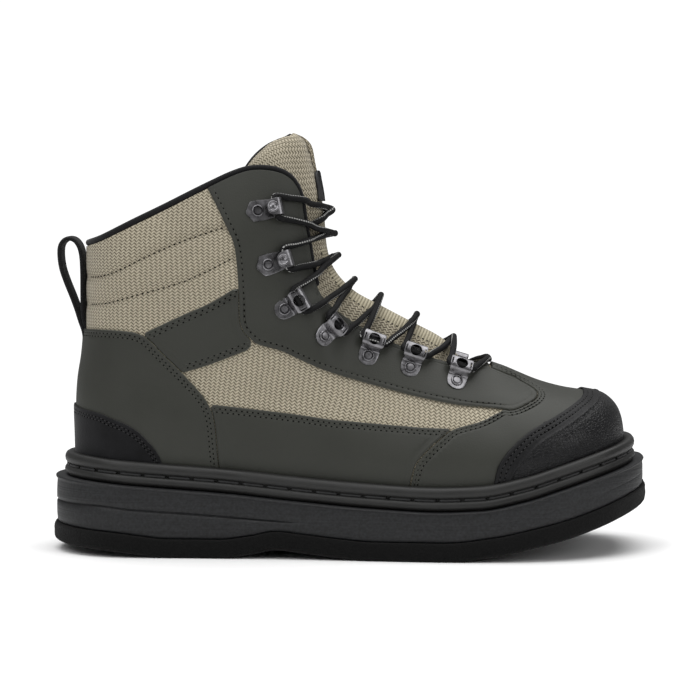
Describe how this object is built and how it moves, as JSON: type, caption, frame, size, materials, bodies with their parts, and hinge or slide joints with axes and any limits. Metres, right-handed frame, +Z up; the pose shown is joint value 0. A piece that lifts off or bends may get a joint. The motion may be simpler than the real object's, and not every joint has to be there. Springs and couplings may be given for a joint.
{
  "type": "wading boot",
  "caption": "Ankle-high lace-up wading boot with a hollow upper, padded tongue, thick midsole and felt outsole, standing empty on its sole.",
  "frame": {"origin": "on the floor under the middle of the sole's bounding box", "axes": "+X from heel to toe, +Y to the inner (medial) side, +Z up"},
  "size_m": [0.3202, 0.125, 0.223],
  "materials": {
    "mesh_cloth": "coarse woven mesh, matte",
    "leather": "smooth synthetic leather, satin",
    "cap_leather": "grained leather, satin",
    "rubber": "moulded rubber, matte",
    "felt": "dense pressed felt, matte",
    "lining": "knit lining, matte",
    "binding": "woven tape, matte",
    "lace": "braided round cord, matte",
    "metal": "dark nickel plate, polished"
  },
  "bodies": {
    "root": {"outsole_felt": "felt", "midsole": "rubber", "welt": "rubber", "insole": "lining", "upper": "mesh_cloth", "collar_binding": "binding", "tongue": "mesh_cloth", "tongue_label": "binding", "pull_loop": "binding", "heel_cap": "cap_leather", "toe_cap": "cap_leather", "heel_panel": "leather", "vamp": "leather", "eyestay_lateral": "leather", "eyestay_medial": "leather", "band_lateral": "leather", "band_medial": "leather", "mudguard_lateral": "leather", "mudguard_medial": "leather", "hook_lateral_1": "metal", "hook_lateral_2": "metal", "hook_medial_1": "metal", "hook_medial_2": "metal", "eyelet_lateral_3": "metal", "eyelet_lateral_4": "metal", "eyelet_lateral_5": "metal", "eyelet_lateral_6": "metal", "eyelet_lateral_7": "metal", "eyelet_medial_3": "metal", "eyelet_medial_4": "metal", "eyelet_medial_5": "metal", "eyelet_medial_6": "metal", "eyelet_medial_7": "metal", "lace_cross_1": "lace", "lace_cross_2": "lace", "lace_cross_3": "lace", "lace_cross_4": "lace", "lace_cross_5": "lace", "lace_cross_6": "lace", "lace_cross_top": "lace", "lace_bar": "lace"}
  },
  "joints": []
}
